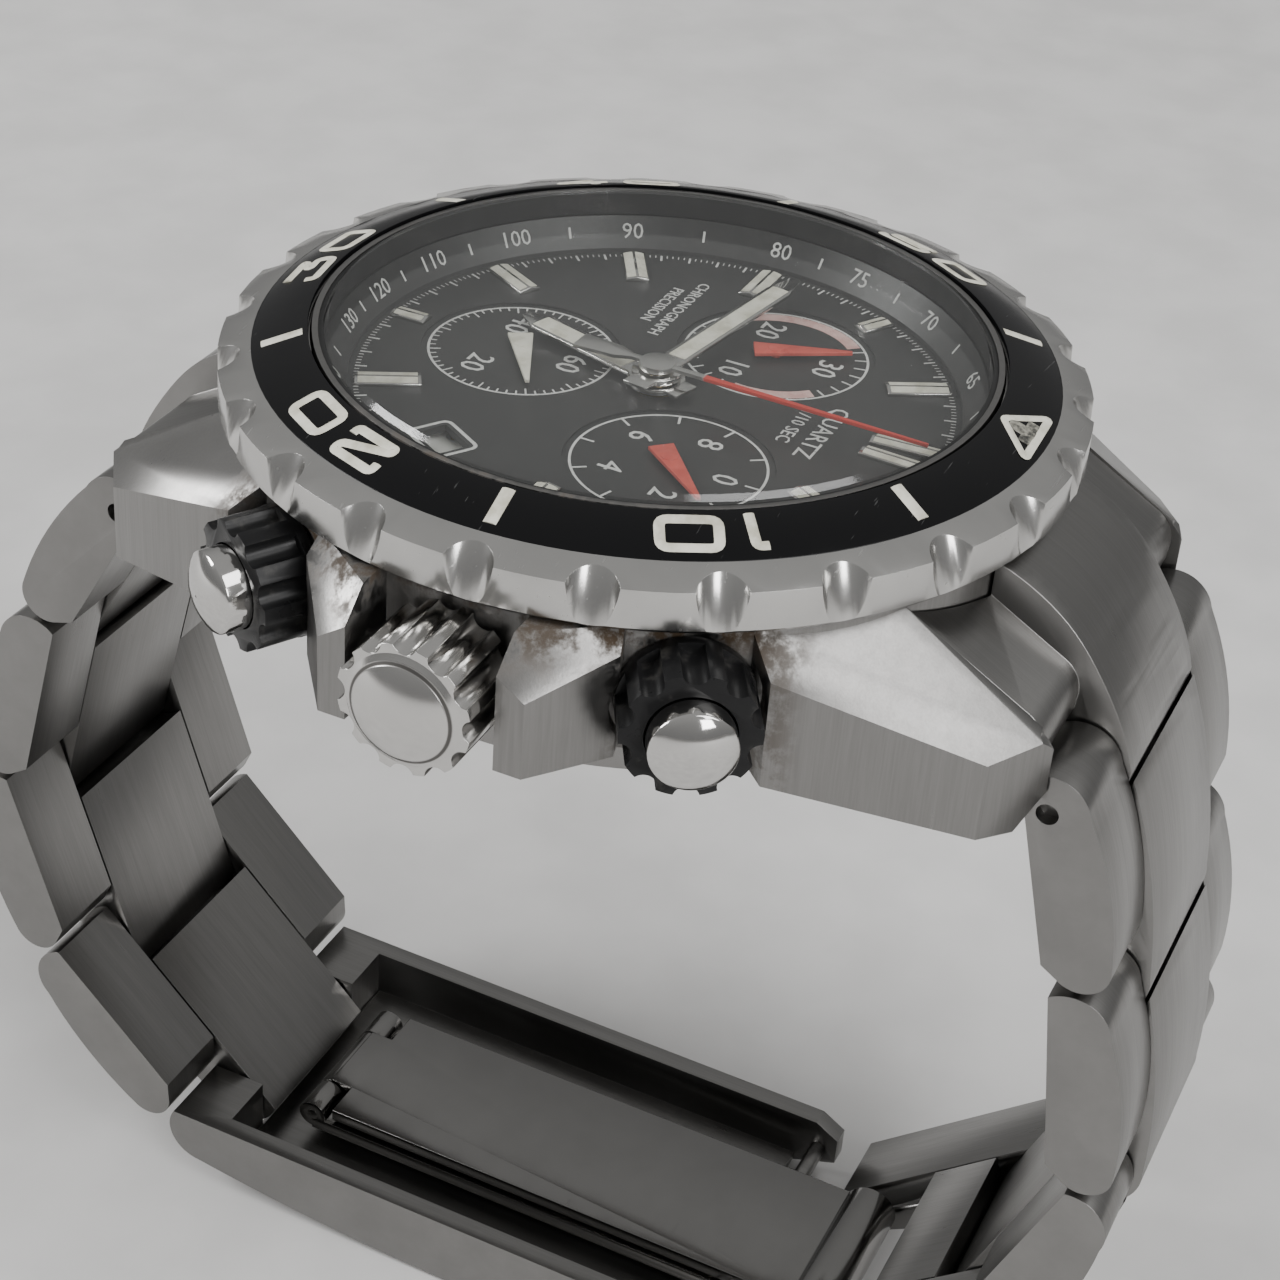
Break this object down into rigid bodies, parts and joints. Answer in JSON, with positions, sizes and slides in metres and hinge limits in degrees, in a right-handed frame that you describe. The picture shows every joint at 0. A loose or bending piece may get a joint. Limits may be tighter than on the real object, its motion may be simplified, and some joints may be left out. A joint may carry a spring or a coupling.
{
  "type": "chronograph wristwatch",
  "caption": "Steel diver's chronograph: turning bezel, three counters, date, crown, two pushers with screw-down collars, three-row bracelet with folding clasp.",
  "frame": {"origin": "centre of the flat outer face of the case back, on the dial's axis", "axes": "+Z out of the dial through the crystal, +X to 3 o'clock and the crown, +Y to 12 o'clock"},
  "size_m": [0.0475, 0.0696, 0.06],
  "materials": {
    "steel_brushed": "brushed",
    "steel_polished": "polished",
    "collar_black": "black coating",
    "insert_black": "gloss black",
    "dial_black": "matt black",
    "marker_cream": "luminous cream",
    "hand_steel": "polished",
    "hand_red": "gloss red",
    "brass": "satin",
    "white_plastic": "matt",
    "board_green": "lacquered",
    "copper": "enamelled copper wire",
    "rubber": "matt",
    "crystal_glass": "clear"
  },
  "bodies": {
    "case": {"case_middle": "steel_brushed", "case_back": "steel_brushed", "case_back_gasket": "rubber", "crystal": "crystal_glass", "crystal_gasket": "rubber", "dial_flange": "dial_black", "dial": "dial_black", "hour_markers": "marker_cream", "movement_ring": "white_plastic", "main_plate": "brass", "train_bridge": "brass", "battery_cell": "steel_polished", "battery_strap": "steel_polished", "motor_coils": "copper", "motor_stators": "steel_polished", "circuit_board": "board_green", "movement_screws": "steel_polished", "crown_tube": "steel_polished", "pusher_tubes": "steel_polished", "bezel_click_spring": "steel_polished", "bezel_retaining_ring": "steel_polished", "end_link_12": "steel_brushed", "end_link_6": "steel_brushed", "spring_bars": "steel_brushed", "start_pusher_spring": "steel_polished", "reset_pusher_spring": "steel_polished"},
    "bezel": {"bezel_ring": "steel_polished", "bezel_insert": "insert_black"},
    "clutch": {"clutch_wheel": "steel_polished"},
    "crown": {"crown": "steel_polished", "crown_gasket": "rubber", "winding_stem": "steel_polished"},
    "start_button": {"start_pusher": "steel_polished", "start_pusher_clip": "steel_polished"},
    "start_collar": {"start_pusher_collar": "collar_black"},
    "reset_button": {"reset_pusher": "steel_polished", "reset_pusher_clip": "steel_polished"},
    "reset_collar": {"reset_pusher_collar": "collar_black"},
    "hour": {"hour_hand": "hand_steel", "hour_wheel": "brass"},
    "minute": {"minute_hand": "hand_steel", "cannon_pinion": "brass"},
    "minute_train": {"minute_wheel": "brass"},
    "chrono_seconds": {"chrono_seconds_hand": "hand_red", "chrono_wheel": "brass"},
    "running_seconds": {"running_seconds_hand": "hand_steel"},
    "minute_counter": {"minute_counter_hand": "hand_red"},
    "tenth_counter": {"tenth_counter_hand": "hand_red"},
    "date": {"date_ring": "white_plastic"},
    "link_12_1": {"link_12_1": "steel_brushed"},
    "link_12_2": {"link_12_2": "steel_brushed"},
    "link_12_3": {"link_12_3": "steel_brushed"},
    "link_12_4": {"link_12_4": "steel_brushed"},
    "link_6_1": {"link_6_1": "steel_brushed"},
    "link_6_2": {"link_6_2": "steel_brushed"},
    "link_6_3": {"link_6_3": "steel_brushed"},
    "link_6_4": {"link_6_4": "steel_brushed"},
    "clasp_cover": {"clasp_cover": "steel_brushed"},
    "clasp_blade_upper": {"clasp_blade_upper": "steel_brushed"},
    "clasp_blade_lower": {"clasp_blade_lower": "steel_brushed"}
  },
  "joints": [
    {"name": "bezel_turn", "type": "hinge", "parent": "case", "child": "bezel", "pos_m": [0, 0, 0], "axis": [0, 0, 1], "continuous": true},
    {"name": "crown_turn", "type": "hinge", "parent": "case", "child": "clutch", "pos_m": [0, 0, 0.0065], "axis": [1, 0, 0], "continuous": true},
    {"name": "crown_pull", "type": "slide", "parent": "clutch", "child": "crown", "axis": [1, 0, 0], "range_m": [0, 0.0015]},
    {"name": "start_push", "type": "slide", "parent": "case", "child": "start_button", "axis": [-0.8686, -0.4955, 0], "range_m": [0, 0.0009], "stiffness_N_per_m": 1500, "springref_m": -0.0015, "deforming": ["start_pusher_spring"]},
    {"name": "start_collar_turn", "type": "hinge", "parent": "case", "child": "start_collar", "pos_m": [0, 0, 0.0065], "axis": [0.8686, 0.4955, 0], "continuous": true},
    {"name": "reset_push", "type": "slide", "parent": "case", "child": "reset_button", "axis": [-0.8686, 0.4955, 0], "range_m": [0, 0.0009], "stiffness_N_per_m": 1500, "springref_m": -0.0015, "deforming": ["reset_pusher_spring"]},
    {"name": "reset_collar_turn", "type": "hinge", "parent": "case", "child": "reset_collar", "pos_m": [0, 0, 0.0065], "axis": [0.8686, -0.4955, 0], "continuous": true},
    {"name": "running_seconds_turn", "type": "hinge", "parent": "case", "child": "running_seconds", "pos_m": [0, -0.0075, 0], "axis": [0, 0, -1], "continuous": true},
    {"name": "minute_turn", "type": "hinge", "parent": "case", "child": "minute", "pos_m": [0, 0, 0], "axis": [0, 0, -1], "continuous": true},
    {"name": "hour_turn", "type": "hinge", "parent": "case", "child": "hour", "pos_m": [0, 0, 0], "axis": [0, 0, -1], "continuous": true},
    {"name": "minute_train_turn", "type": "hinge", "parent": "case", "child": "minute_train", "pos_m": [0.0032, 0, 0], "axis": [0, 0, -1], "continuous": true},
    {"name": "tenth_counter_turn", "type": "hinge", "parent": "case", "child": "tenth_counter", "pos_m": [0.0065, 0.00375, 0], "axis": [0, 0, -1], "continuous": true},
    {"name": "chrono_seconds_turn", "type": "hinge", "parent": "case", "child": "chrono_seconds", "pos_m": [0, 0, 0], "axis": [0, 0, -1], "continuous": true},
    {"name": "minute_counter_turn", "type": "hinge", "parent": "case", "child": "minute_counter", "pos_m": [-0.0065, 0.00375, 0], "axis": [0, 0, -1], "continuous": true},
    {"name": "date_turn", "type": "hinge", "parent": "case", "child": "date", "pos_m": [0, 0, 0], "axis": [0, 0, -1], "continuous": true},
    {"name": "link_12_1_swing", "type": "hinge", "parent": "case", "child": "link_12_1", "pos_m": [0, 0.0254, 0.00085], "axis": [1, 0, 0], "range_deg": [0, 35]},
    {"name": "link_12_2_swing", "type": "hinge", "parent": "link_12_1", "child": "link_12_2", "pos_m": [0, 0.02838, -0.01108], "axis": [1, 0, 0], "range_deg": [0, 11]},
    {"name": "link_12_3_swing", "type": "hinge", "parent": "link_12_2", "child": "link_12_3", "pos_m": [0, 0.03009, -0.02326], "axis": [1, 0, 0], "range_deg": [0, 35]},
    {"name": "link_12_4_swing", "type": "hinge", "parent": "link_12_3", "child": "link_12_4", "pos_m": [0, 0.02548, -0.03467], "axis": [1, 0, 0], "range_deg": [0, 33]},
    {"name": "link_6_1_swing", "type": "hinge", "parent": "case", "child": "link_6_1", "pos_m": [0, -0.0254, 0.00085], "axis": [-1, 0, 0], "range_deg": [0, 25]},
    {"name": "link_6_2_swing", "type": "hinge", "parent": "link_6_1", "child": "link_6_2", "pos_m": [0, -0.03155, -0.0098], "axis": [-1, 0, 0], "range_deg": [0, 21]},
    {"name": "link_6_3_swing", "type": "hinge", "parent": "link_6_2", "child": "link_6_3", "pos_m": [0, -0.03453, -0.02174], "axis": [-1, 0, 0], "range_deg": [0, 37]},
    {"name": "link_6_4_swing", "type": "hinge", "parent": "link_6_3", "child": "link_6_4", "pos_m": [0, -0.03072, -0.03343], "axis": [-1, 0, 0], "range_deg": [0, 31]},
    {"name": "clasp_cover_swing", "type": "hinge", "parent": "link_6_4", "child": "clasp_cover", "pos_m": [0, -0.02194, -0.04204], "axis": [-1, 0, 0], "range_deg": [0, 45]},
    {"name": "clasp_upper_unfold", "type": "hinge", "parent": "clasp_cover", "child": "clasp_blade_upper", "pos_m": [0, 0.01104, -0.04346], "axis": [-1, 0, 0], "range_deg": [0, 110]},
    {"name": "clasp_lower_unfold", "type": "hinge", "parent": "clasp_blade_upper", "child": "clasp_blade_lower", "pos_m": [0, -0.01714, -0.04241], "axis": [1, 0, 0], "range_deg": [0, 90]}
  ],
  "couplings": [
    {"joint": "minute_turn", "follows": "running_seconds_turn", "ratio": 0.016667},
    {"joint": "hour_turn", "follows": "running_seconds_turn", "ratio": 0.0013889},
    {"joint": "minute_train_turn", "follows": "running_seconds_turn", "ratio": -0.0055556},
    {"joint": "chrono_seconds_turn", "follows": "tenth_counter_turn", "ratio": 0.016667},
    {"joint": "minute_counter_turn", "follows": "tenth_counter_turn", "ratio": 0.00055556}
  ]
}
